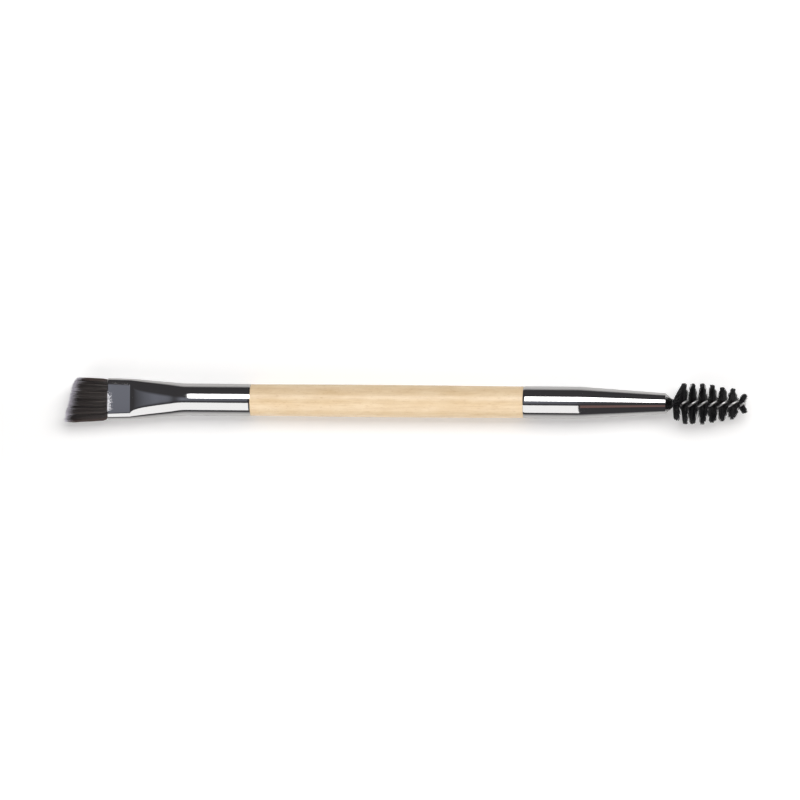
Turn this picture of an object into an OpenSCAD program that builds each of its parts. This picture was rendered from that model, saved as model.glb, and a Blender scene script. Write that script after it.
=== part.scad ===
// Double-ended eyebrow brush: an angled tuft of hair in a flattened ferrule, a turned
// wooden handle, and a spiral brush on a twisted wire in a tapered ferrule.
// It lies along X, with the tuft at -X, the spiral at +X and the flat of the tuft
// facing up. The middle of its length is x = 0, and the table under it is z = 0.

/* [Handle] */
// Length of bare wood between the two ferrules
wood_l = 61.7; // [30:0.1:120]
// Diameter of the bare wood where it meets a ferrule
wood_end_d = 7.1; // [6:0.05:8.4]
// How much thicker the wood is at its middle than at its ends, across the diameter
wood_barrel = 0.2; // [0:0.05:1]
// Chamfer on the end of each tenon
tenon_chamfer = 0.6; // [0.1:0.1:1.5]
// Room between the end of a tenon and the place where its ferrule narrows
tenon_room = 2.5; // [0.5:0.1:6]

/* [Both ferrules] */
// Thickness of the metal tube
ferrule_wall = 0.33; // [0.2:0.01:0.5]
// How far the tube stands proud of the wood, on the radius
ferrule_proud = 0.075; // [0.04:0.005:0.15]
// Length of the edge that is burnished down on to the wood
burnish_l = 0.6; // [0.2:0.1:1.5]
// Play between two pieces that are glued or pushed together
seat_gap = 0.02; // [0.01:0.005:0.04]

/* [Flat ferrule] */
// Length of the part that stays round
round_l = 15.1; // [10:0.1:30]
// Length over which the round tube is pressed into a flat one
press_l = 12.3; // [8:0.1:20]
// Length of the flat land at the mouth
land_l = 5.2; // [3:0.1:10]
// Length past the crease over which the flats turn into a rounder back
crown_l = 2.5; // [1:0.1:5]
// How oval that back is, from 0 for flats with round sides to 1 for a full oval
press_oval = 0.5; // [0:0.05:1]
// How the thickness grows past the crease: 1 is evenly, less is faster near the crease
press_growth = 0.65; // [0.55:0.05:1.4]
// Width of the flat land at its crease
crease_w = 9.05; // [8.8:0.05:12]
// Width of the mouth
mouth_w = 9.3; // [9.1:0.05:12]
// Thickness of the flat land over both walls
land_t = 3.85; // [2.2:0.05:5]
// Rounding of the outer edge of the mouth
mouth_edge = 0.1; // [0.05:0.01:0.15]

/* [Hair tuft] */
// Length of the hair outside the mouth, on its long side
hair_long = 10.2; // [6:0.1:16]
// How much shorter the hair is on its other side
hair_slant = 2.2; // [0:0.1:4]
// Length of the hair inside the ferrule
hair_root_l = 4.8; // [2:0.1:8]
// Width of the tuft at its tips
hair_tip_w = 10.3; // [8:0.1:14]
// How far the tips lean towards the long side
hair_lean = 0.26; // [0:0.01:0.6]
// Thickness of the tuft where it swells outside the mouth
hair_swell_t = 3.35; // [2:0.05:5]
// Thickness of the tuft at its tips
hair_tip_t = 1.1; // [0.4:0.05:2]
// Number of locks that the tips gather into
lock_count = 13; // [6:1:20]
// Depth of the notches between the tips of the locks
lock_notch = 0.7; // [0.1:0.05:1.5]
// How much the locks differ in length
lock_stray = 0.35; // [0:0.05:1]
// How much the two outermost locks are rounded off
tip_round = 0.35; // [0:0.05:1.5]
// Depth of the grooves between the locks, as a share of the thickness there
lock_groove = 0.35; // [0:0.05:0.6]
// Length of the plug of glue behind the hair
tuft_glue_l = 5; // [2:0.1:8]

/* [Cone ferrule] */
// Length of the part that stays cylindrical
barrel_l = 12.7; // [8:0.1:25]
// Length of the cone
cone_l = 19.4; // [12:0.1:30]
// Length of the short chamfer that closes the nose
nose_l = 1.45; // [0.8:0.05:2]
// Diameter at the small end of the cone
cone_end_d = 4.66; // [3.8:0.02:6]
// Diameter of the flat ring round the hole in the nose
nose_ring_d = 2; // [1.9:0.05:2.6]

/* [Twisted wire] */
// Diameter of one strand
wire_d = 0.66; // [0.4:0.01:0.66]
// Gap that the layer of fibres keeps between the two strands
wire_spread = 0.2; // [0.16:0.01:0.26]
// Length of one full turn of the twist
wire_lead = 4.5; // [3.5:0.1:6]
// Length of the wire inside the ferrule
wire_root_l = 14; // [8:0.5:18]
// Length at the closed end over which the twist runs out
wire_untwist_l = 1.5; // [0.5:0.1:3]
// Play round the wire where it passes through the nose
wire_play = 0.1; // [0.05:0.01:0.15]
// How far the wire stops short of the tip of the brush
wire_tip_gap = 0.5; // [0.2:0.1:2]
// Length of the plug of glue round the wire
wire_glue_l = 9; // [3:0.5:14]

/* [Spiral bristles] */
// Length of the brush that the fibres make
spiral_l = 16.85; // [10:0.05:30]
// Gap between the nose of the ferrule and the first fibres
spiral_start = 0.1; // [0.05:0.05:2]
// Diameter of the full part of the brush
spiral_d = 9.24; // [8:0.02:12]
// Length from the nose to where the brush starts to taper
spiral_full_l = 6.6; // [3:0.1:9]
// Diameter that the taper would reach at the tip
spiral_tip_d = 5.4; // [4:0.1:8]
// Length over which the tip rounds off
spiral_round_l = 3.1; // [1:0.1:4]
// Length over which the fibres grow to their full length at the nose
spiral_rise_l = 1.2; // [0.5:0.1:3]
// How far the first fibres lean towards the tip, as a share of their length
first_lean = 0.53; // [0:0.01:0.6]
// How far the last fibres lean towards the tip, as a share of their length
last_lean = 0.5; // [0:0.01:0.6]
// Distance from the first fibres to where a fin first stands out sideways
spiral_phase = 2.3; // [0:0.05:4.5]
// Thickness of a fin at its rim, along the brush
fin_rim_t = 0.5; // [0.3:0.01:0.8]
// Thickness of a fin at its base, along the brush
fin_base_t = 0.42; // [0.3:0.02:0.56]
// Thickness of the layer of fibres between the strands
fin_waist_t = 0.1; // [0.06:0.01:0.12]
// Depth of the notches in the rim of a fin
fin_notch = 0.32; // [0:0.01:0.8]
// How much the thickness of a rim varies from fibre to fibre
fin_ragged = 0.25; // [0:0.01:0.4]
// How far the ends of the fibres stray along the brush
fin_stray = 0.12; // [0:0.01:0.2]
// How far the lowest fibres bend under the weight of the brush, which lies on them
spiral_press = 0.25; // [0.1:0.01:0.6]

/* [Hidden] */

// Fineness of the curves
$fn = 96;
wood_steps = 24;         // steps along the barrel of the wood
half_ring = 33;          // half the points of a ring round the flat ferrule, an odd number
crown_steps = 3;         // steps from the crease to the rounder back
press_steps = 4;         // steps from there to the round tube
lock_steps = 4;          // points across one lock of hair
hair_rings = 9;          // rings along the free hair
wire_sides = 8;          // sides of one strand of wire
wire_turn_steps = 12;    // rings in one turn of a strand
bend_steps = 6;          // rings round the closed end of the wire
left_hand = -1;          // the wire is twisted like a left-hand thread

// Where things lie along the brush
flat_ferrule_l = land_l + press_l + round_l;
cone_ferrule_l = barrel_l + cone_l + nose_l;
overall_l = hair_long + flat_ferrule_l + wood_l + cone_ferrule_l + spiral_start + spiral_l;
hair_tip_x = -overall_l / 2;
mouth_x = hair_tip_x + hair_long;
crease_x = mouth_x + land_l;
round_x = crease_x + press_l;
wood_x = round_x + round_l;
barrel_x = wood_x + wood_l;
cone_x = barrel_x + barrel_l;
nose_x = cone_x + cone_l;
nose_end_x = nose_x + nose_l;
spiral_x = nose_end_x + spiral_start;
spiral_tip_x = spiral_x + spiral_l;
axis_z = spiral_d / 2 - spiral_press;

// Radii that follow from the fits
wood_end_r = wood_end_d / 2;
ferrule_r = wood_end_r + ferrule_proud;
bore_r = ferrule_r - ferrule_wall;
tenon_r = bore_r - seat_gap;
cone_end_r = cone_end_d / 2;
nose_ring_r = nose_ring_d / 2;
strand_r = wire_d / 2;
strand_off = strand_r + wire_spread / 2;
wire_r = strand_off + strand_r;

function mix(a, b, t) = a + (b - a) * t;
function clamp01(t) = max(0, min(1, t));
function polar(x, r, a) = [x, r * cos(a), r * sin(a)];

// Triangles across a ring of an even number of points that mirror each other about
// the line from the first one to the one halfway round
function strips(size) = [
    for (i = [0 : size / 2 - 1])
        each [if (i < size / 2 - 1) [i, i + 1, size - i - 1],
              if (i > 0) [i, size - i - 1, size - i]]];

// A closed skin over rings of points that turn from +Y to +Z, in the order of travel.
// With capped = false the last ring joins the first, as in a tube with a bore.
module skin(rings, capped = true) {
    size = len(rings[0]);
    count = len(rings);
    walls = [
        for (j = [0 : capped ? count - 2 : count - 1], i = [0 : size - 1])
            let (near = j * size, far = (j + 1) % count * size, next = (i + 1) % size)
                each [[near + i, far + i, far + next], [near + i, far + next, near + next]]];
    far_cap = (count - 1) * size;
    caps = [
        for (t = strips(size))
            each [t, [far_cap + t[0], far_cap + t[2], far_cap + t[1]]]];
    polyhedron([for (r = rings) each r], capped ? concat(walls, caps) : walls, convexity = 6);
}

module on_axis() translate([0, 0, axis_z]) children();

// Turns a profile of [radius, place along the brush] about the axis of the brush
module turned(profile) on_axis() rotate([0, 90, 0]) rotate_extrude() polygon(profile);

// Handle: one turned piece of wood, a slight barrel with a tenon at each end
module handle() {
    function wood_r(s) = wood_end_r + wood_barrel / 2 * sin(180 * s);
    left_end = round_x + tenon_room;
    right_end = cone_x - tenon_room;
    tip_r = tenon_r - tenon_chamfer;
    color([0.93, 0.84, 0.68])
        turned(concat(
            [[0, left_end], [tip_r, left_end], [tenon_r, left_end + tenon_chamfer],
             [tenon_r, wood_x]],
            [for (i = [0 : wood_steps]) [wood_r(i / wood_steps), wood_x + wood_l * i / wood_steps]],
            [[tenon_r, barrel_x], [tenon_r, right_end - tenon_chamfer], [tip_r, right_end],
             [0, right_end]]));
}

// Flat ferrule: a thin tube, round over the wood and pressed flat at the mouth.
// The section of its land is two half circles joined by flats. Past the crease the
// flats turn into a rounder back, which grows until it is the round tube.
function pressed(x) = clamp01((x - crease_x) / press_l);
function press_half_w(x) = x < crease_x
    ? mix(mouth_w, crease_w, (x - mouth_x) / land_l) / 2
    : mix(crease_w / 2, ferrule_r, pressed(x));
function press_half_t(x) = mix(land_t / 2, ferrule_r, pow(pressed(x), press_growth));
function oval(x) = press_oval * clamp01((x - crease_x) / crown_l);
function press_ring(x, inset) =
    let (half_w = press_half_w(x) - inset, half_t = press_half_t(x) - inset)
        [for (i = [0 : 2 * half_ring - 1])
            let (a = 180 * i / half_ring,
                 land_y = sign(cos(a)) * (half_w - half_t) + half_t * cos(a))
                [x, mix(land_y, half_w * cos(a), oval(x)), half_t * sin(a)]];
function circle_ring(x, r) = [for (i = [0 : 2 * half_ring - 1]) polar(x, r, 180 * i / half_ring)];
press_x = [
    for (i = [0 : crown_steps - 1]) crease_x + crown_l * i / crown_steps,
    for (i = [0 : press_steps - 1]) mix(crease_x + crown_l, round_x, i / press_steps)];

module flat_ferrule() {
    seam_step = 0.006;   // step on each side of the wall where the pressed part leaves the tube
    seam_l = 0.3;        // length by which the two run into each other inside the wall
    outer_r = ferrule_r - seam_step;
    inner_r = bore_r + seam_step;
    color([0.80, 0.81, 0.84]) {
        on_axis() skin(capped = false, rings = [
            press_ring(mouth_x, mouth_edge),
            press_ring(mouth_x + mouth_edge, 0),
            for (x = press_x) press_ring(x, 0),
            circle_ring(round_x, outer_r),
            circle_ring(round_x + seam_l, outer_r),
            circle_ring(round_x + seam_l, inner_r),
            circle_ring(round_x, inner_r),
            for (i = [1 : len(press_x)]) press_ring(press_x[len(press_x) - i], ferrule_wall),
            press_ring(mouth_x, ferrule_wall)]);
        turned([[bore_r, round_x], [ferrule_r, round_x], [ferrule_r, wood_x - burnish_l],
                [wood_end_r, wood_x - seat_gap], [bore_r, wood_x - seat_gap]]);
    }
}

// Hair tuft: one flat bundle cut at a slant. Its tips gather into pointed locks with
// grooves between them, and its root fills the land of the ferrule.
root_inset = ferrule_wall + seat_gap;
root_half_t = land_t / 2 - root_inset;
hair_half_ring = lock_steps * lock_count;
lock_rand = rands(0, 1, lock_count + 1, 11);

// Across the tuft s runs from 1 on the short side to -1 on the long side, and the
// place in a lock is 0 in a groove and 1 on the crest
function lock_crest(i) = sin(180 * (i % lock_steps) / lock_steps);
function lock_luck(i) = lock_rand[floor(i / lock_steps)];
function tip_x(i, s) = hair_tip_x + hair_slant * (1 + s) / 2
    + lock_notch * (1 - lock_crest(i)) + lock_stray * (lock_luck(i) - 0.5) + tip_round * pow(abs(s), 8);
function bundle_edge(s, half_w, half_t, oval) =
    mix(sqrt(max(0, half_t * half_t - pow(max(0, half_w * abs(s) - half_w + half_t), 2))),
        half_t * sqrt(1 - s * s), oval);
function hair_ring(xs, half_w, half_t, groove, lean, oval) = [
    for (k = [0 : 2 * hair_half_ring - 1])
        let (upper = k <= hair_half_ring,
             i = upper ? k : 2 * hair_half_ring - k,
             s = 1 - 2 * i / hair_half_ring,
             z = bundle_edge(s, half_w, half_t, oval) * (1 - groove * (1 - lock_crest(i))))
            [xs[i], half_w * s - lean, upper ? z : -z]];
function across() = [0 : hair_half_ring];

module hair_tuft() {
    swell_at = 0.3;      // where along the free hair the tuft is thickest, from 0 to 1
    root_x = mouth_x + hair_root_l;
    root_oval = root_x > crease_x ? 1 : 0;   // roots that reach past the crease take its shape
    mouth_half_w = mouth_w / 2 - root_inset;
    function thick(t) = t < swell_at
        ? mix(root_half_t, hair_swell_t / 2, sin(90 * t / swell_at))
        : mix(hair_swell_t / 2, hair_tip_t / 2, pow((t - swell_at) / (1 - swell_at), 1.2));
    function free_ring(t) = hair_ring(
        [for (i = across()) mix(mouth_x, tip_x(i, 1 - 2 * i / hair_half_ring), t)],
        mix(mouth_half_w, hair_tip_w / 2, sin(90 * t)), thick(t), lock_groove * t, hair_lean * t * t, 0);
    color([0.20, 0.17, 0.16])
        on_axis() skin([
            for (j = [hair_rings : -1 : 0]) free_ring(j / hair_rings),
            hair_ring([for (i = across()) root_x],
                      press_half_w(root_x) - root_inset, root_half_t, 0, 0, root_oval)]);
}

// Glue behind the hair: hard resin that fills the ferrule from wall to wall
module tuft_glue() {
    x0 = mouth_x + hair_root_l + seat_gap;
    x1 = x0 + tuft_glue_l;
    color([0.84, 0.74, 0.46])
        on_axis() skin([
            press_ring(x0, root_inset),
            for (x = [each press_x, round_x]) if (x0 < x && x < x1) press_ring(x, root_inset),
            press_ring(x1, root_inset)]);
}

// Cone ferrule: a thin drawn tube that tapers to a nose with a hole for the wire
nose_hole_r = wire_r + wire_play;
nose_angle = atan((cone_end_r - nose_ring_r) / nose_l);
cone_end_bore_r = cone_end_r - ferrule_wall;
function nose_bore_x(r) = nose_x + (cone_end_r - r) / tan(nose_angle) - ferrule_wall / sin(nose_angle);

module cone_ferrule()
    color([0.80, 0.81, 0.84])
        turned([[bore_r, barrel_x + seat_gap], [wood_end_r, barrel_x + seat_gap],
                [ferrule_r, barrel_x + burnish_l], [ferrule_r, cone_x], [cone_end_r, nose_x],
                [nose_ring_r, nose_end_x], [nose_hole_r, nose_end_x],
                [nose_hole_r, nose_bore_x(nose_hole_r)],
                [cone_end_bore_r, nose_bore_x(cone_end_bore_r)], [bore_r, cone_x]]);

// Spiral: the fibres lie between the two strands and stand out on both sides of the
// wire, so the twist winds them into two fins with the lead of the wire
function fibre_angle(x) = left_hand * 360 * (x - spiral_x - spiral_phase) / wire_lead;

// Twisted wire: one wire bent double like a hairpin, with its closed end in the
// ferrule, and its two legs twisted together a quarter turn off the fibres
module twisted_wire() {
    bend_x = nose_end_x - wire_root_l;
    helix_x = bend_x + wire_untwist_l;
    end_x = spiral_tip_x - wire_tip_gap;
    rate = left_hand * 360 / wire_lead;
    steps = ceil((end_x - bend_x) / wire_lead * wire_turn_steps);
    function past(x) = max(0, helix_x - x);
    function angle(x) = fibre_angle(max(x, helix_x)) + 90
        - rate * (past(x) - pow(past(x), 2) / (2 * wire_untwist_l));
    function slope(x) = rate * (1 - past(x) / wire_untwist_l) * PI / 180;
    function tube_ring(p, out, along) =
        let (side = cross(along, out) / norm(cross(along, out)))
            [for (k = [0 : wire_sides - 1])
                let (a = 360 * k / wire_sides) p + strand_r * (cos(a) * out + sin(a) * side)];
    function leg_ring(x, side) =
        let (out = side * polar(0, 1, angle(x)),
             tangent = [1, 0, 0] + strand_off * slope(x) * cross([1, 0, 0], out))
            tube_ring([x, 0, 0] + strand_off * out, out, -side * tangent);
    function bend_ring(b) =
        let (leg = polar(0, 1, angle(bend_x)), out = cos(b) * leg - [sin(b), 0, 0])
            tube_ring([bend_x, 0, 0] + strand_off * out, out, -sin(b) * leg - [cos(b), 0, 0]);
    color([0.72, 0.73, 0.74])
        on_axis() skin([
            for (i = [0 : steps]) leg_ring(mix(end_x, bend_x, i / steps), 1),
            for (i = [1 : bend_steps - 1]) bend_ring(180 * i / bend_steps),
            for (i = [0 : steps]) leg_ring(mix(bend_x, end_x, i / steps), -1)]);
}

// Spiral bristles: a twisted bow tie in section, thin where the strands pinch it, with
// ragged rims. The fibres stand square to the wire, but the first and last of them lean
// towards the tip, and the lowest ones bend on the table.
module spiral_bristles() {
    base_r = 0.55;               // where a fin starts beside the strands
    first_share = 0.9;           // length of the very first fibres, as a share of the full one
    first_side = [0.25, 1];      // share of the lean that each of the two fins has at the nose
    first_lean_l = 4;            // length over which the lean at the nose runs out
    last_lean_l = 2.5;           // length over which the lean at the tip builds up
    rim_crown = 0.15;            // how much longer the fibres are along the middle of a rim
    rim_steps = 2;               // rings in half the angle that a rim takes up
    root_l = spiral_l - 0.15;    // the last fibres lean out past their roots
    rim_half = 180 * fin_rim_t / wire_lead;
    base_half = 180 * fin_base_t / wire_lead;
    steps = ceil(360 * root_l / wire_lead / (rim_half / rim_steps));
    last_fibre = steps + 2 * rim_steps;
    notches = [for (seed = [5, 8]) rands(0, fin_notch, last_fibre + 1, seed)];
    spreads = [for (seed = [3, 6]) rands(1 - fin_ragged, 1 + fin_ragged, last_fibre + 1, seed)];
    strays = [for (seed = [2, 9]) rands(-fin_stray, fin_stray, last_fibre + 1, seed)];
    function brush_r(x) =
        let (taper = clamp01((x - spiral_full_l) / (spiral_l - spiral_full_l)),
             round = clamp01((x - spiral_l + spiral_round_l) / spiral_round_l))
            mix(spiral_d, spiral_tip_d, taper) / 2 * sqrt(1 - 0.9 * round * round)
                * mix(first_share, 1, clamp01(x / spiral_rise_l));
    function lean(x, side) =
        first_lean * first_side[side] * pow(clamp01(1 - x / first_lean_l), 1.5)
            + last_lean * clamp01(1 - (root_l - x) / last_lean_l);
    function rim(i, j, side) =
        let (x = root_l * i / steps,
             fibre = i + rim_steps * (1 - j),
             r = brush_r(x) - notches[side][fibre] - rim_crown * abs(j))
            polar(spiral_x + x + lean(x, side) * (r - base_r) + (i > 0 ? strays[side][fibre] : 0), r,
                  fibre_angle(spiral_x + x) + 180 * side + j * rim_half * spreads[side][fibre]);
    function laid(p) = [p.x, p.y, max(p.z, -axis_z)];
    function fin_ring(i) =
        let (x = spiral_x + root_l * i / steps, a = fibre_angle(x))
            [for (p = [
                rim(i, 0, 0), rim(i, 1, 0), polar(x, base_r, a + base_half),
                polar(x, fin_waist_t / 2, a + 90),
                polar(x, base_r, a + 180 - base_half), rim(i, -1, 1), rim(i, 0, 1), rim(i, 1, 1),
                polar(x, base_r, a + 180 + base_half), polar(x, fin_waist_t / 2, a - 90),
                polar(x, base_r, a - base_half), rim(i, -1, 0)]) laid(p)];
    color([0.10, 0.10, 0.11]) on_axis() skin([for (i = [0 : steps]) fin_ring(i)]);
}

// Glue round the wire: hard resin that fills the end of the cone behind the nose
module wire_glue() {
    hole_r = wire_r + seat_gap;
    front_r = cone_end_bore_r - seat_gap;
    back_x = nose_x - wire_glue_l;
    back_r = mix(bore_r, cone_end_bore_r, (back_x - cone_x) / cone_l) - seat_gap;
    color([0.84, 0.74, 0.46])
        turned([[hole_r, back_x], [back_r, back_x], [front_r, nose_bore_x(cone_end_bore_r) - seat_gap],
                [hole_r, nose_bore_x(hole_r) - 2 * seat_gap]]);
}

handle();
flat_ferrule();
hair_tuft();
tuft_glue();
cone_ferrule();
twisted_wire();
spiral_bristles();
wire_glue();
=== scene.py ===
"""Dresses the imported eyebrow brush: turned wood, bright ferrules, 2900 hairs and a twisted-wire spiral."""

import math

import bmesh
import bpy
import numpy as np
from mathutils import Matrix, Vector


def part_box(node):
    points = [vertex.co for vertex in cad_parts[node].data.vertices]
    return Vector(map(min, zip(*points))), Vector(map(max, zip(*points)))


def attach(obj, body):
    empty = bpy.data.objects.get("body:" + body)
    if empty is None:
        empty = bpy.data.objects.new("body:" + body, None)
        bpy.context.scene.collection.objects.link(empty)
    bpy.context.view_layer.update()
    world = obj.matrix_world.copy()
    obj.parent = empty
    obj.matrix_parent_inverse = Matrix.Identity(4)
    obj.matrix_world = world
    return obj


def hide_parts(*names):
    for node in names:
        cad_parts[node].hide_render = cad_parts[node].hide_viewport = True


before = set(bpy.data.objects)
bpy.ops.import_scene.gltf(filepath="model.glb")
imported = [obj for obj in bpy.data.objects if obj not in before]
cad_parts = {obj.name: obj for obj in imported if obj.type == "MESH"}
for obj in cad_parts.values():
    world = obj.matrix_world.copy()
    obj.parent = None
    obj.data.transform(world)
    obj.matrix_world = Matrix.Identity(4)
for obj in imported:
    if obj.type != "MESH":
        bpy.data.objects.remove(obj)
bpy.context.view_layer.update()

# Camera, table and studio light.
# The brush lies on a white table and is seen from high above, a little from its spiral end.
# A large soft box hangs on the far side of the brush, and a broad white card on the near side.
MM = 0.001
axis_z = 4.37 * MM                          # height of the middle of the handle
camera_aim = Vector((-0.97 * MM, 0.27 * MM, axis_z))
camera_distance, camera_lens = 2.5, 499
camera_lean, camera_roll = 5.4, 0.48        # degrees: towards the spiral, and about the line of sight

camera = bpy.data.objects.new("camera", bpy.data.cameras.new("camera"))
bpy.context.scene.collection.objects.link(camera)
camera_turn = (Matrix.Rotation(math.radians(camera_lean), 3, "Y")
               @ Matrix.Rotation(math.radians(camera_roll), 3, "Z"))
camera.location = camera_aim + camera_turn.col[2] * camera_distance
camera.rotation_euler = camera_turn.to_euler()
camera.data.lens = camera_lens
camera.data.clip_end = 20
bpy.context.scene.camera = camera
bpy.context.scene.view_settings.view_transform = "Standard"


def node_maker(tree):
    """A function that adds a node to the tree, with its settings, values and links in one call."""
    def node(kind, settings=(), **inputs):
        made = tree.nodes.new("ShaderNode" + kind)
        for key, value in dict(settings).items():
            setattr(made, key, value)
        for key, value in inputs.items():
            numbered = key[0] == "i" and key[1:].isdigit()
            socket = made.inputs[int(key[1:]) if numbered else key.replace("_", " ")]
            if isinstance(value, bpy.types.NodeSocket):
                tree.links.new(value, socket)
            else:
                socket.default_value = value
        return made
    return node


def new_material(name):
    """An empty node material, and the function that adds its nodes."""
    material = bpy.data.materials.new(name)
    material.use_nodes = True
    material.node_tree.nodes.clear()
    return material, node_maker(material.node_tree)


def maths(node, operation, *values):
    """The result of a Math node for these values."""
    numbered = {f"i{number}": value for number, value in enumerate(values)}
    return node("Math", {"operation": operation}, **numbered).outputs[0]


def fade(node, value, start, end):
    """Goes smoothly from 0 where the value is at the start to 1 where it is at the end."""
    made = node("MapRange", {"interpolation_type": "SMOOTHSTEP"}, Value=value, From_Min=start, From_Max=end)
    return made.outputs[0]


def mixed_colour(node, share, a, b, blend="MIX"):
    """Goes from the first colour to the second by the share, or multiplies them."""
    return node("Mix", {"data_type": "RGBA", "blend_type": blend}, i0=share, i6=a, i7=b).outputs[2]


table_half = 6.0
paper_white = (0.90, 0.895, 0.885, 1)
dark_room = (0.058, 0.056, 0.060, 1)        # what the plating mirrors where there is no light
# The table's own glow for the camera, in the shadow of the brush and away from it: painted light, raised away
# from the brush to wash out its shadow there
shadow_glow, clear_glow = 0.17, 0.31
far_clear_y, near_clear_y = (-0.002, 0.004), (-0.011, -0.040)
# How far off the brush the mirrored table is half dark on either side, and how sharply it gets dark
far_dim, near_dim = (0.023, 4.0), (-0.026, 2.0)


def table_material():
    """White paper that the camera sees plain white, but for the shadow of the brush, which its painted glow
    lets show only along the brush.

    Mirrored in the plating it darkens with its distance from the brush. This is a painted reflection that puts
    the dark room colour in place of the table.
    """
    material, node = new_material("white_table")
    path = node("LightPath").outputs
    across = node("SeparateXYZ", Vector=node("TexCoord").outputs["Object"]).outputs["Y"]
    paper = node("BsdfDiffuse", Color=paper_white)
    # Painted light: the camera's glow is stronger away from the brush, so the brush's cast shadow fades out
    # there
    clear = maths(node, "MAXIMUM", fade(node, across, *far_clear_y), fade(node, across, *near_clear_y))
    glow = node("MapRange", Value=clear, To_Min=shadow_glow, To_Max=clear_glow).outputs[0]
    lift = node("Emission", Strength=maths(node, "MULTIPLY", path["Is Camera Ray"], glow))
    white = node("AddShader", i0=paper.outputs[0], i1=lift.outputs[0])

    def off_brush(step, power):
        share = maths(node, "MAXIMUM", maths(node, "MULTIPLY", across, 1 / step), 0.0)
        return maths(node, "POWER", share, power)
    away = maths(node, "ADD", off_brush(*far_dim), off_brush(*near_dim))
    dimming = maths(node, "DIVIDE", away, maths(node, "ADD", away, 1.0))
    # Painted reflection: glossy rays see the dark room colour in place of the table, more so further off the
    # brush
    dimming = maths(node, "MULTIPLY", dimming, path["Is Glossy Ray"])
    dark = node("Emission", Color=dark_room)
    both = node("MixShader", i0=dimming, i1=white.outputs[0], i2=dark.outputs[0])
    node("OutputMaterial", Surface=both.outputs[0])
    return material


bm = bmesh.new()
bmesh.ops.create_grid(bm, x_segments=1, y_segments=1, size=table_half)
table_mesh = bpy.data.meshes.new("table")
bm.to_mesh(table_mesh)
bm.free()
table = bpy.data.objects.new("table", table_mesh)
table.data.materials.append(table_material())
bpy.context.scene.collection.objects.link(table)

# The room is dark but for a dim bluish glow overhead, towards the tuft. The camera sees it white.
glow_direction, glow_spread = (-0.21, 0.03, 0.97), (0.40, 0.37)
glow_colour = (0.235, 0.245, 0.29, 1)
world = bpy.data.worlds.new("studio")
bpy.context.scene.world = world
world.use_nodes = True
world.node_tree.nodes.clear()
world_node = node_maker(world.node_tree)
direction = world_node("TexCoord").outputs["Generated"]
from_glow = world_node("VectorMath", {"operation": "SUBTRACT"}, i0=direction, i1=glow_direction)
from_glow = world_node("VectorMath", {"operation": "MULTIPLY"}, i0=from_glow.outputs[0],
                       i1=(1 / glow_spread[0], 1 / glow_spread[1], 1.0))
from_glow = world_node("VectorMath", {"operation": "LENGTH"}, i0=from_glow.outputs[0])
nearness = fade(world_node, from_glow.outputs["Value"], 1.0, 0.0)
room = world_node("Background", Color=mixed_colour(world_node, nearness, dark_room, glow_colour))
white_room = world_node("Background", Color=(1, 1, 1, 1))
to_camera = world_node("LightPath").outputs["Is Camera Ray"]
seen_room = world_node("MixShader", i0=to_camera, i1=room.outputs[0], i2=white_room.outputs[0])
world_node("OutputWorld", Surface=seen_room.outputs[0])


def soft_light(name, angles, distance, x_span, radiance, colour=(1, 1, 1), in_plating=True):
    """A flat light that faces the brush. The angles to its two long edges are from straight up towards +Y."""
    light = bpy.data.lights.new(name, "AREA")
    light.shape = "RECTANGLE"
    light.size = x_span[1] - x_span[0]
    light.size_y = 2 * distance * math.tan(math.radians(angles[1] - angles[0]) / 2)
    light.energy = radiance * math.pi * light.size * light.size_y
    light.color = colour
    lamp = bpy.data.objects.new(name, light)
    lean = math.radians(angles[0] + angles[1]) / 2
    lamp.location = (sum(x_span) / 2, distance * math.sin(lean), distance * math.cos(lean))
    lamp.rotation_euler = (-lean, 0, 0)
    lamp.visible_camera = False
    lamp.visible_glossy = in_plating
    bpy.context.scene.collection.objects.link(lamp)


soft_light("soft_box", angles=(9, 40), distance=0.75, x_span=(-0.145, 0.9), radiance=4.5)
soft_light("white_card", angles=(-80, -22), distance=0.55, x_span=(-0.7, 0.027), radiance=1.34)
soft_light("warm_strip", angles=(-38, -20), distance=0.6, x_span=(0.045, 0.9), radiance=0.175,
           colour=(1, 0.5, 0.41))
soft_light("side_fill", angles=(-85, -45), distance=0.6, x_span=(-0.7, 0.7), radiance=0.8, in_plating=False)

# Handle: one piece of pale birch.
# It is turned to a very slight barrel, sanded and given a thin clear coat, and its two
# tenons sit in the ferrules. The wood between the ferrules is bare.
wood_x, barrel_x = -34.72 * MM, 27.0 * MM    # the shoulders of the wood, at the rims of the ferrules
wood_end_r, wood_swell, barrel_steps = 3.55 * MM, 0.1 * MM, 48
tenon_r, tenon_tip_r, tenon_chamfer = 3.275 * MM, 2.675 * MM, 0.6 * MM
merge_dist = 0.0005 * MM
handle_x = [corner.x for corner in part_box("handle")]


def link_piece(name, mesh, material, replaced):
    """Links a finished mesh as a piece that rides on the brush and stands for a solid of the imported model."""
    piece = bpy.data.objects.new(name, mesh)
    bpy.context.scene.collection.objects.link(piece)
    mesh.materials.append(material)
    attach(piece, "root")
    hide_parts(replaced)


def smooth_mesh(name, bm, crease_angle):
    """Turns a bmesh into a smooth mesh that stays crisp where it bends by more than that angle."""
    mesh = bpy.data.meshes.new(name)
    bm.to_mesh(mesh)
    bm.free()
    mesh.shade_smooth()
    mesh.set_sharp_from_angle(angle=math.radians(crease_angle))
    return mesh


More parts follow.
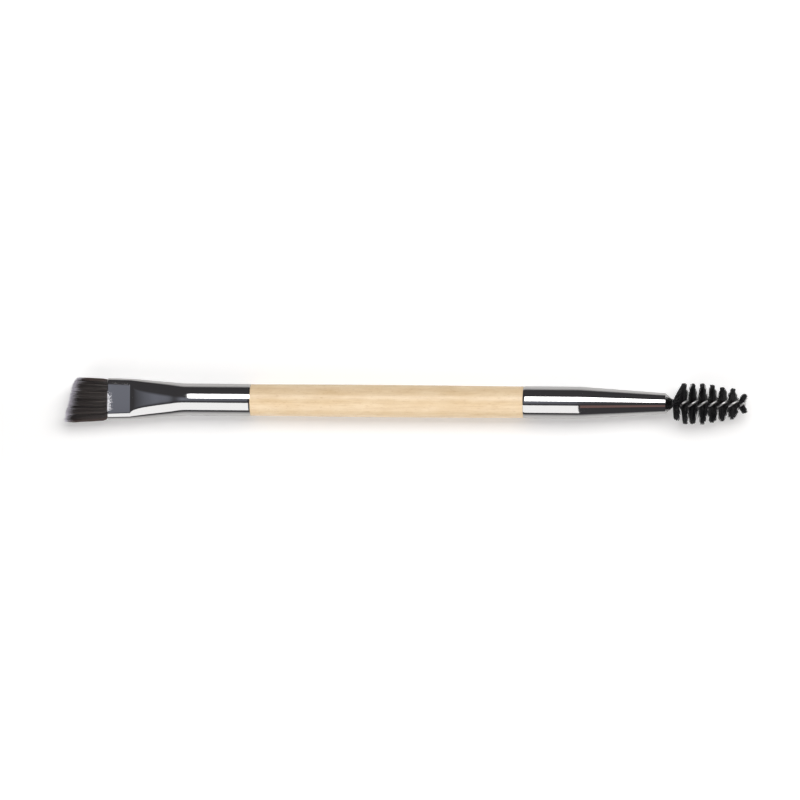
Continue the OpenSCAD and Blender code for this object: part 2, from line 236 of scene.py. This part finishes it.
def turned(profile, steps=128, closed=False):
    """Spins a profile of (place along the brush, radius) about the axis of the brush."""
    bm = bmesh.new()
    verts = [bm.verts.new((x, 0, axis_z + r)) for x, r in profile]
    for a, b in zip(verts, verts[1:] + verts[:1] if closed else verts[1:]):
        bm.edges.new((a, b))
    bmesh.ops.spin(bm, geom=bm.verts[:] + bm.edges[:], cent=(0, 0, axis_z), axis=(1, 0, 0), dvec=(0, 0, 0),
                   angle=2 * math.pi, steps=steps, use_merge=True, use_duplicate=False)
    bmesh.ops.remove_doubles(bm, verts=bm.verts, dist=merge_dist)
    bmesh.ops.recalc_face_normals(bm, faces=bm.faces)
    return bm


def ramp(node, value, *stops):
    """A colour ramp through (place, colour) stops."""
    made = node("ValToRGB", Fac=value)
    elements = made.color_ramp.elements
    while len(elements) < len(stops):
        elements.new(0.5)
    for element, (place, colour) in zip(elements, stops):
        element.position, element.color = place, (*colour, 1)
    return made.outputs[0]


wood_dark, wood_light = (0.86, 0.635, 0.375), (0.97, 0.765, 0.51)
streak_tint, pore_tint = (0.80, 0.73, 0.64), (0.82, 0.74, 0.64)


def wood_material():
    """Pale birch under a thin clear coat: fine streaks, small pores, and soft lighter and darker clouds."""
    material, node = new_material("pale_birch")
    place = node("TexCoord").outputs["Object"]
    grain_place = node("Mapping", Vector=place, Scale=(150, 2600, 2600)).outputs[0]
    cloud_place = node("Mapping", Vector=place, Scale=(150, 420, 420)).outputs[0]
    pore_place = node("Mapping", Vector=place, Scale=(900, 5200, 5200)).outputs[0]
    grain = node("TexNoise", Vector=grain_place, Scale=1.0, Detail=5, Roughness=0.62, Distortion=0.35)
    grain = grain.outputs["Fac"]
    cloud = node("TexNoise", Vector=cloud_place, Scale=1.0, Detail=4, Roughness=0.6).outputs["Fac"]
    pores = node("TexNoise", Vector=pore_place, Scale=1.0, Detail=2, Roughness=0.5).outputs["Fac"]
    tone = ramp(node, cloud, (0.3, wood_dark), (0.7, wood_light))
    streak = ramp(node, grain, (0.28, streak_tint), (0.55, (1, 1, 1)))
    pore = ramp(node, pores, (0.30, pore_tint), (0.40, (1, 1, 1)))
    colour = mixed_colour(node, 0.5, tone, streak, "MULTIPLY")
    colour = mixed_colour(node, 0.6, colour, pore, "MULTIPLY")
    bump = node("Bump", Strength=0.25, Distance=0.02 * MM, Height=maths(node, "ADD", grain, pores))
    roughness = node("MapRange", Value=grain, To_Min=0.62, To_Max=0.5)
    surface = node("BsdfPrincipled", Base_Color=colour, Roughness=roughness.outputs[0],
                   Normal=bump.outputs[0], Coat_Weight=0.8, Coat_Roughness=0.24, Specular_IOR_Level=0.25)
    node("OutputMaterial", Surface=surface.outputs[0])
    return material


handle_profile = [(handle_x[0], 0), (handle_x[0], tenon_tip_r), (handle_x[0] + tenon_chamfer, tenon_r),
                  (wood_x, tenon_r)]
for step in range(barrel_steps + 1):
    share = step / barrel_steps
    wood_r = wood_end_r + wood_swell * math.sin(math.pi * share)
    handle_profile.append((wood_x + (barrel_x - wood_x) * share, wood_r))
handle_profile += [(barrel_x, tenon_r), (handle_x[1] - tenon_chamfer, tenon_r), (handle_x[1], tenon_tip_r),
                   (handle_x[1], 0)]
link_piece("turned_handle", smooth_mesh("turned_handle", turned(handle_profile), 40), wood_material(),
           "handle")

# Flat ferrule: a thin brass tube, bright plated.
# Its round end is burnished down on to the wood, and the other end is pressed flat round
# the roots of the hair. It starts here as a tube too, and is then pressed.
ferrule_r, wall = 3.625 * MM, 0.33 * MM
mouth_x, crease_x = -67.3 * MM, -62.1 * MM
mouth_half_w, crease_half_w = 4.70 * MM, 4.58 * MM
mouth_half_t, crease_half_t = 1.58 * MM, 1.68 * MM
lip, lip_angles = 0.26 * MM, (90, 65, 45, 28, 12, 0)    # how round the edge of the mouth is
# The other rim, closed down on the wood: distance from the shoulder, and how far it is drawn in
burnish, rim_gap = 0.6 * MM, 0.05 * MM
burnished_rim = [(rim_gap, 0.07 * MM), (burnish * 0.4, 0.03 * MM), (burnish * 0.75, 0.004 * MM), (burnish, 0)]
# How the tube narrows past the crease: millimetres past it, and half width in millimetres
pressed_width = [(-1, 4.603), (0, 4.58), (11, 3.72), (12.3, 3.64), (14, 3.625)]
# How it opens there: millimetres past the crease, half thickness, and from 0 for a flat to 1 for an oval
pressed_back = [(0, 1.68, 0), (0.4, 1.84, 0.12), (0.8, 1.98, 0.21), (1.8, 2.20, 0.32), (3.2, 2.44, 0.40),
                (5, 2.68, 0.47), (7, 2.88, 0.58), (9.5, 3.16, 0.70), (11, 3.46, 0.78), (12, 3.585, 0.88),
                (13, 3.62, 0.97), (14, 3.625, 1), (18, 3.625, 1)]
outer_rings, inner_rings, ring_crowding = 36, 12, 1.4   # the rings stand closer near the crease
# Where the plating shows worn specks, painted near-white partly as wear and partly as glints: up to this far
# behind the mouth, and between these places across
worn_glint_l, worn_glint_far_y, worn_glint_near_y = 2.0 * MM, (3.0 * MM, 0.5 * MM), (-3.2 * MM, -2.6 * MM)
plating_colour, worn_glint_colour = (0.61, 0.605, 0.60, 1), (0.93, 0.93, 0.96, 1)


def plated_material():
    """A mirror with fine drawing marks and soft handling marks, and worn specks at the pressed mouth, painted
    near-white partly as wear and partly as glints.
    """
    material, node = new_material("bright_plating")
    place = node("TexCoord").outputs["Object"]
    drawn_place = node("Mapping", Vector=place, Scale=(60, 4000, 4000)).outputs[0]
    drawn = node("TexNoise", Vector=drawn_place, Scale=1.0, Detail=3, Roughness=0.6).outputs["Fac"]
    wave_place = node("Mapping", Vector=place, Scale=(160, 260, 260)).outputs[0]
    wave = node("TexNoise", Vector=wave_place, Scale=1.0, Detail=1, Roughness=0.4).outputs["Fac"]
    smudge = node("TexNoise", Vector=place, Scale=900, Detail=4, Roughness=0.65).outputs["Fac"]
    height = maths(node, "MULTIPLY_ADD", wave, 9.0, drawn)
    bump = node("Bump", Strength=0.35, Distance=0.0008 * MM, Height=height)
    roughness = node("MapRange", Value=smudge, From_Min=0.35, From_Max=0.75, To_Min=0.045, To_Max=0.08)
    along, across, _ = node("SeparateXYZ", Vector=place).outputs
    near_mouth = node("MapRange", Value=along, From_Min=mouth_x + worn_glint_l, From_Max=mouth_x)
    far_edge = node("MapRange", Value=across, From_Min=worn_glint_far_y[0], From_Max=worn_glint_far_y[1])
    near_edge = node("MapRange", Value=across, From_Min=worn_glint_near_y[0], From_Max=worn_glint_near_y[1])
    worn_glint = maths(node, "MULTIPLY", far_edge.outputs[0], near_edge.outputs[0])
    worn_glint = maths(node, "MULTIPLY", worn_glint, near_mouth.outputs[0])
    fleck = node("TexNoise", Vector=place, Scale=4500, Detail=3, Roughness=0.6).outputs["Fac"]
    worn_glint = fade(node, maths(node, "MULTIPLY_ADD", worn_glint, 0.43, fleck), 0.74, 0.84)
    roughness = maths(node, "MAXIMUM", roughness.outputs[0], maths(node, "MULTIPLY", worn_glint, 0.6))
    # The specks' near-white colour and lower metallic are painted glints as well as wear
    colour = mixed_colour(node, worn_glint, plating_colour, worn_glint_colour)
    metallic = node("MapRange", Value=worn_glint, To_Min=1.0, To_Max=0.4)
    surface = node("BsdfPrincipled", Base_Color=colour, Metallic=metallic.outputs[0],
                   Roughness=roughness, Normal=bump.outputs[0])
    node("OutputMaterial", Surface=surface.outputs[0])
    return material


plating = plated_material()


def mix(a, b, share):
    """The place between two values at a share of the way."""
    return a + (b - a) * share


def smooth_through(points, place):
    """Value at a place of a smooth curve through (place, value) points."""
    xs, ys = zip(*points)
    if place <= xs[0] or place >= xs[-1]:
        return ys[0] if place <= xs[0] else ys[-1]
    k = max(i for i in range(len(xs) - 1) if xs[i] <= place)

    def slope(i):
        return 0 if i in (0, len(xs) - 1) else (ys[i + 1] - ys[i - 1]) / (xs[i + 1] - xs[i - 1])
    span, share = xs[k + 1] - xs[k], (place - xs[k]) / (xs[k + 1] - xs[k])
    return (mix(ys[k], ys[k + 1], share * share * (3 - 2 * share))
            + span * share * (1 - share) * (slope(k) * (1 - share) - slope(k + 1) * share))


def press_shape(x):
    """Half width, half thickness and ovalness of the pressed tube at a place along the brush."""
    if x < crease_x:
        share = (x - mouth_x) / (crease_x - mouth_x)
        return mix(mouth_half_w, crease_half_w, share), mix(mouth_half_t, crease_half_t, share), 0
    past = (x - crease_x) / MM
    return (smooth_through(pressed_width, past) * MM,
            smooth_through([(place, thick) for place, thick, _ in pressed_back], past) * MM,
            smooth_through([(place, oval) for place, _, oval in pressed_back], past))


def flat_ferrule_mesh():
    """A tube whose rings are pressed from circles into flats with round sides, and then into ovals."""
    bore_r = ferrule_r - wall
    pressed_end = crease_x + pressed_back[-1][0] * MM
    outer = [(mouth_x, bore_r + 0.02 * MM)]
    outer += [(mouth_x + lip * (1 - math.sin(t)), ferrule_r - lip * (1 - math.cos(t)))
              for t in map(math.radians, lip_angles)]
    outer += [(mix(mouth_x, crease_x, share), ferrule_r) for share in (0.25, 0.5, 0.75, 0.97)]
    outer += [(mix(crease_x, pressed_end, (k / outer_rings) ** ring_crowding), ferrule_r)
              for k in range(outer_rings + 1)]
    outer += [(wood_x - back, ferrule_r - drawn_in) for back, drawn_in in reversed(burnished_rim)]
    inner = [(wood_x - rim_gap, bore_r)]
    inner += [(mix(crease_x, pressed_end, (k / inner_rings) ** ring_crowding), bore_r)
              for k in range(inner_rings, -1, -1)]
    bm = turned(outer + inner, steps=192, closed=True)
    for vert in bm.verts:
        x, y, z = vert.co.x, vert.co.y, vert.co.z - axis_z
        if x >= pressed_end:
            continue
        half_w, half_t, oval = press_shape(x)
        inset = ferrule_r - math.hypot(y, z)
        around = math.atan2(z, y)
        side = 1 if y > 1e-9 else -1 if y < -1e-9 else 0
        land_y = side * (half_w - half_t) + (half_t - inset) * math.cos(around)
        vert.co.y = mix(land_y, (half_w - inset) * math.cos(around), oval)
        vert.co.z = axis_z + (half_t - inset) * math.sin(around)
    return smooth_mesh("pressed_ferrule", bm, 25)


link_piece("pressed_ferrule", flat_ferrule_mesh(), plating, "flat_ferrule")

# Hair tuft: nearly three thousand fine dark hairs with pale tips, cut at a slant.
# They swell out of the mouth of the ferrule, fan out a little, and end in a thin soft fringe.
hair_count, lock_count = 2900, 20
hair_d, hair_tip_d = 0.105 * MM, 0.010 * MM
hair_tip_x, hair_slant = -77.6 * MM, 2.7 * MM
root_half_w, root_half_t, swell_half_t, tip_half_t = 4.30 * MM, 1.25 * MM, 1.55 * MM, 0.55 * MM
swell_w, swell_l, swell_shift, hair_spread = 0.40 * MM, 0.35 * MM, 0.23 * MM, 0.060
swell_end, thinning = 0.3, 1.2              # the share of a hair where the tuft is thickest, and how it thins
hair_steps = np.array([-0.1, 0.0, 0.04, 0.12, 0.4, 0.72, 0.88, 1.0])
# The locks: how far they lie above and below the middle, how unevenly, and how far they draw the tips in
lock_z, lock_jitter, lock_pull_y, lock_pull_z = 0.45, 0.03, 0.32, 0.3
# In millimetres: how uneven the locks are in length, and how short a hair falls, on average and at most
lock_luck, short_mean, short_most = 0.24, 0.45, 2.2
# In millimetres too: how much is trimmed off the sides of a lock, and off the long and the short corner
lock_trim, long_corner_trim, short_corner_trim = 0.12, 0.2, 0.6
# The share of stray hairs, how many millimetres they stray, and how much every hair wanders
stray_share, stray_by, wander = 0.02, 0.3, 0.02 * MM
chance = np.random.default_rng(7)


def strand_mesh(name, paths, widths, facts, roundness=0):
    """Runs a tapered strand along each path and closes its ends.

    Each point keeps three facts as a colour, for the material to read.
    """
    curve = bpy.data.curves.new(name, "CURVE")
    curve.dimensions = "3D"
    curve.bevel_depth = 1.0
    curve.bevel_resolution = roundness
    for path, width in zip(paths, widths):
        spline = curve.splines.new("POLY")
        spline.points.add(len(path) - 1)
        spline.points.foreach_set("co", np.column_stack([path, np.ones(len(path))]).ravel())
        spline.points.foreach_set("radius", width / 2)
    bundle = bpy.data.objects.new(name + "_paths", curve)
    mesh = bpy.data.meshes.new_from_object(bundle)
    bpy.data.objects.remove(bundle)
    bpy.data.curves.remove(curve)
    mesh.name = name
    mesh.materials.clear()
    sides = len(mesh.vertices) // (paths.shape[0] * paths.shape[1])
    colours = np.ones((paths.shape[0], paths.shape[1], sides, 4))
    colours[..., :3] = facts[:, :, None, :]
    layer = mesh.color_attributes.new("strand", "FLOAT_COLOR", "POINT")
    layer.data.foreach_set("color", colours.ravel())
    bm = bmesh.new()
    bm.from_mesh(mesh)
    bmesh.ops.holes_fill(bm, edges=[edge for edge in bm.edges if edge.is_boundary], sides=0)
    bmesh.ops.recalc_face_normals(bm, faces=bm.faces)
    bm.to_mesh(mesh)
    bm.free()
    mesh.shade_smooth()
    return mesh


def hair_mesh():
    """Hairs from just inside the mouth to the slanted edge, pulled together in locks."""
    y, z = chance.uniform(-1, 1, hair_count * 3), chance.uniform(-1, 1, hair_count * 3)
    corner = np.maximum(0, np.abs(y) * root_half_w - root_half_w + root_half_t) / root_half_t
    inside = np.flatnonzero(corner ** 2 + z ** 2 < 1)[:hair_count]
    y, z = y[inside], z[inside]
    count = len(y)
    # The middles of the locks: one row above and one below, set half a lock apart
    rows = 2 * lock_count - 1
    middle_y = np.linspace(-1, 1, lock_count + 1)[:-1] + 1 / lock_count
    middle_y = np.concatenate([middle_y, middle_y[:-1] + 1 / lock_count])
    middle_y = middle_y + chance.uniform(-lock_jitter, lock_jitter, rows)
    middle_z = np.concatenate([np.full(lock_count, lock_z), np.full(lock_count - 1, -lock_z)])
    luck = chance.uniform(-lock_luck, lock_luck, rows) * MM
    lock = np.argmin(((y[:, None] - middle_y) * lock_count * 0.7) ** 2 + (z[:, None] - middle_z) ** 2, axis=1)
    tip_y = mix(y, middle_y[lock], lock_pull_y) + chance.normal(0, 0.012, count)
    tip_z = mix(z, middle_z[lock], lock_pull_z) + chance.normal(0, 0.06, count)
    from_middle = np.abs(y - middle_y[lock]) * lock_count
    short = np.minimum(chance.exponential(short_mean, count), short_most) * MM
    corners = short_corner_trim * np.clip(tip_y, 0, 1) ** 6 + long_corner_trim * np.clip(-tip_y, 0, 1) ** 8
    tip_x = (hair_tip_x + hair_slant * (1 + tip_y) / 2 + luck[lock] + short
             + (lock_trim * from_middle ** 2 + corners) * MM)
    stray = (chance.random(count) < stray_share) * chance.normal(0, stray_by, count) * MM

    # From just inside the mouth to the tip: the tuft swells out of the mouth, then fans out and thins
    free = np.clip(hair_steps, 0, 1)
    out = (mouth_x - tip_x)[:, None] * free
    thinned = np.clip((free - swell_end) / (1 - swell_end), 0, 1) ** thinning
    half_t = np.where(free < swell_end, mix(root_half_t, swell_half_t, np.sin(math.pi / 2 * free / swell_end)),
                      mix(swell_half_t, tip_half_t, thinned))
    swollen = 1 - np.exp(-out / swell_l)
    half_w = root_half_w + swell_w * swollen + hair_spread * out
    pull = free ** 2
    paths = np.empty((count, len(hair_steps), 3))
    paths[..., 0] = mouth_x + (tip_x - mouth_x)[:, None] * hair_steps
    paths[..., 1] = (mix(y[:, None], tip_y[:, None], pull) * half_w - swell_shift * swollen
                     + stray[:, None] * pull)
    paths[..., 2] = axis_z + mix(z[:, None], tip_z[:, None], pull) * half_t
    paths[:, 1:, 1:] += chance.normal(0, wander, (count, len(hair_steps) - 1, 2)) * free[1:, None]
    width = np.interp(hair_steps, [0, 0.72, 0.88, 1], [hair_d, hair_d * 0.9, hair_d * 0.5, hair_tip_d])
    from_tip = (paths[:, :, 0] - tip_x[:, None]) / (10 * MM)
    facts = np.stack([np.clip(from_tip, 0, 1), np.repeat(chance.random((count, 1)), len(hair_steps), 1),
                      np.repeat(np.abs(y)[:, None], len(hair_steps), 1)], axis=2)
    return strand_mesh("hair_tuft_strands", paths, np.tile(width, (count, 1)), facts)


edge_red, tip_lilac = (0.085, 0.042, 0.030, 1), (0.76, 0.73, 0.80, 1)


def hair_material():
    """Dark brown hair that fades to pale lilac at its tips, a little redder along the two edges of the tuft."""
    material, node = new_material("dark_hair")
    facts = node("SeparateColor", Color=node("Attribute", {"attribute_name": "strand"}).outputs["Color"])
    from_tip, tone, edge = facts.outputs
    body = ramp(node, tone, (0.0, (0.012, 0.010, 0.010)), (0.6, (0.030, 0.024, 0.022)),
                (0.93, (0.075, 0.062, 0.058)), (1.0, (0.16, 0.135, 0.125)))
    red = node("MapRange", Value=edge, From_Min=0.84, From_Max=1.0, To_Max=0.7)
    body = mixed_colour(node, red.outputs[0], body, edge_red)
    pale_from = node("MapRange", Value=tone, To_Min=0.07, To_Max=0.25)    # its own place on each hair
    colour = mixed_colour(node, fade(node, from_tip, pale_from.outputs[0], 0.03), body, tip_lilac)
    surface = node("BsdfPrincipled", Base_Color=colour, Roughness=0.42, Specular_IOR_Level=0.5)
    node("OutputMaterial", Surface=surface.outputs[0])
    return material


link_piece("hair_tuft_strands", hair_mesh(), hair_material(), "hair_tuft")

# Glue in both ferrules: plugs of hard amber resin, poured in behind the hair and round
# the wire. They are sealed in, and keep the shape that they were packed with.
resin_dark, resin_light = (0.50, 0.33, 0.10), (0.72, 0.55, 0.24)


def resin_material():
    """Hard amber glue with small bubbles and a glassy surface."""
    material, node = new_material("amber_resin")
    place = node("TexCoord").outputs["Object"]
    cloud = node("TexNoise", Vector=place, Scale=700, Detail=3).outputs["Fac"]
    bubbles = node("TexVoronoi", Vector=place, Scale=2600).outputs["Distance"]
    colour = ramp(node, cloud, (0.3, resin_dark), (0.7, resin_light))
    bump = node("Bump", Strength=0.3, Distance=0.03 * MM, Height=bubbles)
    surface = node("BsdfPrincipled", Base_Color=colour, Roughness=0.12, Normal=bump.outputs[0])
    node("OutputMaterial", Surface=surface.outputs[0])
    return material


resin = resin_material()
for name in ("tuft_glue", "wire_glue"):
    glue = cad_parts[name]
    glue.data.materials.clear()
    glue.data.materials.append(resin)

# Cone ferrule: a thin drawn tube, bright plated.
# It is burnished on to the other end of the wood, tapers over most of its length, and
# closes to a small nose that grips the wire.
cone_x, nose_x, nose_end_x = 39.7 * MM, 59.1 * MM, 60.55 * MM
cone_end_r, nose_ring_r, nose_hole_r = 2.33 * MM, 1.0 * MM, 0.86 * MM
bend_l, bend_steps = 1.8 * MM, 8            # where the tube bends into the cone
cone_slope = (ferrule_r - cone_end_r) / (nose_x - cone_x)
nose_edge_l, nose_lip_t = 0.25 * MM, 0.3 * MM
cone_profile = [(barrel_x + back, ferrule_r - drawn_in) for back, drawn_in in burnished_rim]
# A round bend that leaves the tube and the cone smoothly
for step in range(bend_steps + 1):
    share = step / bend_steps
    cone_profile.append((cone_x + bend_l * (share - 0.5), ferrule_r - cone_slope * bend_l * share * share / 2))
# The rounded edge of the nose, its small ring and hole, and the bore back to the wood
cone_profile += [(nose_x - nose_edge_l, cone_end_r + 0.015 * MM), (nose_x, cone_end_r - 0.04 * MM),
                 (nose_x + 0.22 * MM, cone_end_r - 0.22 * MM),
                 (nose_end_x - 0.12 * MM, nose_ring_r + 0.1 * MM), (nose_end_x, nose_ring_r - 0.03 * MM),
                 (nose_end_x, nose_hole_r), (nose_end_x - nose_lip_t, nose_hole_r),
                 (nose_x - nose_edge_l, cone_end_r - wall), (cone_x, ferrule_r - wall),
                 (barrel_x + rim_gap, ferrule_r - wall)]
link_piece("tapered_ferrule", smooth_mesh("tapered_ferrule", turned(cone_profile, steps=160, closed=True), 25),
           plating, "cone_ferrule")

# Twisted wire: one length of bright steel wire bent double like a hairpin.
# Its closed end is set in the cone, and its two legs are twisted together round the
# fibres that lie between them.
wire_r, leg_off, wire_lead = 0.33 * MM, 0.43 * MM, 4.5 * MM
spiral_x, fibre_start = 60.65 * MM, 2.25 * MM
bend_x, wire_end_x, untwist_l = 46.55 * MM, 77.0 * MM, 1.5 * MM
leg_steps, hairpin_steps = 170, 12


def fibre_angle(x):
    """Which way the fibres point at a place along the wire, as an angle from +Y towards +Z."""
    return -2 * math.pi * (x - spiral_x - fibre_start) / wire_lead


def wire_mesh():
    """Follows one leg back from the tip, round the closed end, and out again along the other leg."""
    helix_x = bend_x + untwist_l
    rate = -2 * math.pi / wire_lead

    def leg_point(x, side):
        past = max(0, helix_x - x)
        angle = fibre_angle(max(x, helix_x)) + math.pi / 2 - rate * (past - past * past / (2 * untwist_l))
        return Vector((x, side * leg_off * math.cos(angle), axis_z + side * leg_off * math.sin(angle)))

    first = [leg_point(mix(wire_end_x, bend_x, k / leg_steps), 1) for k in range(leg_steps + 1)]
    last = [leg_point(mix(bend_x, wire_end_x, k / leg_steps), -1) for k in range(leg_steps + 1)]
    middle = (first[-1] + last[0]) / 2
    out = first[-1] - middle
    bend = [middle + out * math.cos(t) - Vector((leg_off * math.sin(t), 0, 0))
            for t in (math.pi * k / hairpin_steps for k in range(1, hairpin_steps))]
    path = np.array(first + bend + last)[None]
    return strand_mesh("twisted_wire_steel", path, np.full(path.shape[:2], 2 * wire_r), np.zeros(path.shape),
                       roundness=5)


def wire_material():
    """Bright steel wire with fine drawing marks."""
    material, node = new_material("drawn_steel")
    place = node("TexCoord").outputs["Object"]
    marks = node("TexNoise", Vector=place, Scale=6000, Detail=3).outputs["Fac"]
    tarnish = node("TexNoise", Vector=place, Scale=700, Detail=3).outputs["Fac"]
    colour = ramp(node, tarnish, (0.35, (0.74, 0.73, 0.72)), (0.65, (0.88, 0.875, 0.87)))
    bump = node("Bump", Strength=0.2, Distance=0.003 * MM, Height=marks)
    roughness = node("MapRange", Value=marks, To_Min=0.34, To_Max=0.46)
    surface = node("BsdfPrincipled", Base_Color=colour, Metallic=1.0, Roughness=roughness.outputs[0],
                   Normal=bump.outputs[0])
    node("OutputMaterial", Surface=surface.outputs[0])
    return material


link_piece("twisted_wire_steel", wire_mesh(), wire_material(), "twisted_wire")

# Spiral bristles: black nylon fibres, laid between the legs of the wire before it is
# twisted. The twist winds them into two thin fins, which are trimmed to a round brush
# that tapers. The first and last fibres lean to the tip, and the lowest bend on the table.
fibre_count, first_count, last_count = 4000, 700, 320
first_l, last_l, clump_l = 1.3 * MM, 1.2 * MM, 0.34 * MM
fibre_d, fibre_tip_d = 0.095 * MM, 0.05 * MM
# How far the fibres reach from the middle of the wire, by the place of their root: millimetres both
trim_places = (0, 1.2, 5, 7, 9.2, 11.3, 13.6, 14.8, 15.6, 16.1)
trim_reaches = (4.55, 4.78, 4.80, 4.76, 4.46, 4.06, 3.60, 2.9, 2.3, 1.9)
# How the fibres lean along the wire, per length: the first ones, those of their short fin, the last, and all
first_lean, short_fin_lean, last_lean, fin_lean = 0.53, 0.35, 0.36, 0.086
first_lean_l, last_lean_l = 4.0 * MM, 2.5 * MM
root_l, root_r, short_fin = 16.0 * MM, 0.1 * MM, 0.22
# How uneven the trim is, in millimetres: a clump's, a fibre's, and how far both stray along the wire
clump_trim, fibre_trim, clump_stray, fibre_stray = 0.26, 0.09, 0.07, 0.37
clump_pull = 0.5                            # how far the tips are drawn to the middle of their clump
# Stubs among the first fibres: their share, their reach in millimetres, and the angle that they wrap
stub_share, stub_reach, stub_wrap = 0.4, (0.85, 1.15), 1.9
# How unevenly the fibres point: all of them, and the first and the last ones besides
angle_jitter, first_jitter, last_jitter = 0.05, 0.6, 0.5
fibre_steps = np.array([0.0, 0.3, 0.6, 0.85, 1.0])


def spiral_mesh():
    """Fibres from the middle of the wire out to the trimmed rim, gathered in small clumps."""
    x = np.sort(np.concatenate([chance.uniform(0, root_l, fibre_count), chance.uniform(0, first_l, first_count),
                                chance.uniform(root_l - last_l, root_l, last_count)]))
    count = len(x)
    side = chance.integers(0, 2, count)
    clump = np.floor(x / clump_l + 0.5 * side).astype(int)
    clumps = clump.max() + 1
    middle_x = np.arange(clumps)[:, None] + chance.uniform(0.25, 0.75, (clumps, 2)) - 0.5 * np.array([0, 1])
    middle_x = middle_x * clump_l
    trim = chance.uniform(0, clump_trim, (clumps, 2)) * MM
    clump_shift = chance.normal(0, clump_stray, (clumps, 2)) * MM
    # The first fibres are short on one side and point anyhow, and some of them are stubs that lie over the wire
    first = np.clip(1 - x / first_l, 0, 1)
    last = np.clip(1 - (root_l - x) / last_l, 0, 1)
    stub = (first > 0.1) & (chance.random(count) < stub_share)
    reach = np.interp(x / MM, trim_places, trim_reaches) * MM * np.where(side == 0, 1 - short_fin * first, 1)
    reach = reach - trim[clump, side] - np.abs(chance.normal(0, fibre_trim, count)) * MM
    reach = np.where(stub, chance.uniform(*stub_reach, count) * MM, reach)
    tip_x = mix(x, middle_x[clump, side], clump_pull)
    lean = (first_lean * np.where(side == 0, short_fin_lean, 1.0) * np.clip(1 - x / first_lean_l, 0, 1) ** 1.5
            + last_lean * np.clip(1 - (root_l - x) / last_lean_l, 0, 1))
    lean = np.where(stub, 0, lean)
    stray = clump_shift[clump, side] + chance.uniform(-fibre_stray, fibre_stray, count) * MM

    # From the middle of the wire to the tip
    out = fibre_steps
    r = root_r + (reach - root_r)[:, None] * np.where(stub[:, None], out ** 0.3, out)
    bend = out ** 1.5
    turn_x = mix(x[:, None], tip_x[:, None], bend)
    angle = -2 * math.pi * (turn_x - fibre_start) / wire_lead + math.pi * side[:, None]
    angle = angle + chance.normal(0, angle_jitter, count)[:, None] * out
    angle = angle + (chance.normal(0, first_jitter, count) * first)[:, None]
    angle = angle + (chance.normal(0, last_jitter, count) * last)[:, None]
    angle = angle + (chance.choice((-stub_wrap, stub_wrap), count) * stub)[:, None] * out
    height = r * np.sin(angle)
    paths = np.empty((count, len(out), 3))
    leaned = lean[:, None] * r * out ** 0.5 + stray[:, None] * bend + fin_lean * height
    paths[..., 0] = np.maximum(spiral_x + x[:, None] + leaned, spiral_x - 0.05 * MM)
    paths[..., 1] = r * np.cos(angle)
    paths[..., 2] = np.maximum(axis_z + height, fibre_d / 2)
    width = np.interp(out, [0, 0.7, 1], [fibre_d, fibre_d, fibre_tip_d])
    facts = np.stack([np.tile(out, (count, 1)), np.repeat(chance.random((count, 1)), len(out), 1),
                      np.zeros((count, len(out)))], axis=2)
    return strand_mesh("spiral_fibres", paths, np.tile(width, (count, 1)), facts)


def nylon_material():
    """Black nylon with a soft sheen, a shade greyer on some fibres."""
    material, node = new_material("black_nylon")
    facts = node("SeparateColor", Color=node("Attribute", {"attribute_name": "strand"}).outputs["Color"])
    tone = facts.outputs[1]
    colour = ramp(node, tone, (0.0, (0.004, 0.004, 0.005)), (0.7, (0.010, 0.010, 0.011)),
                  (1.0, (0.035, 0.034, 0.036)))
    roughness = node("MapRange", Value=tone, To_Min=0.28, To_Max=0.45)
    surface = node("BsdfPrincipled", Base_Color=colour, Roughness=roughness.outputs[0], Specular_IOR_Level=0.38)
    node("OutputMaterial", Surface=surface.outputs[0])
    return material


link_piece("spiral_fibres", spiral_mesh(), nylon_material(), "spiral_bristles")
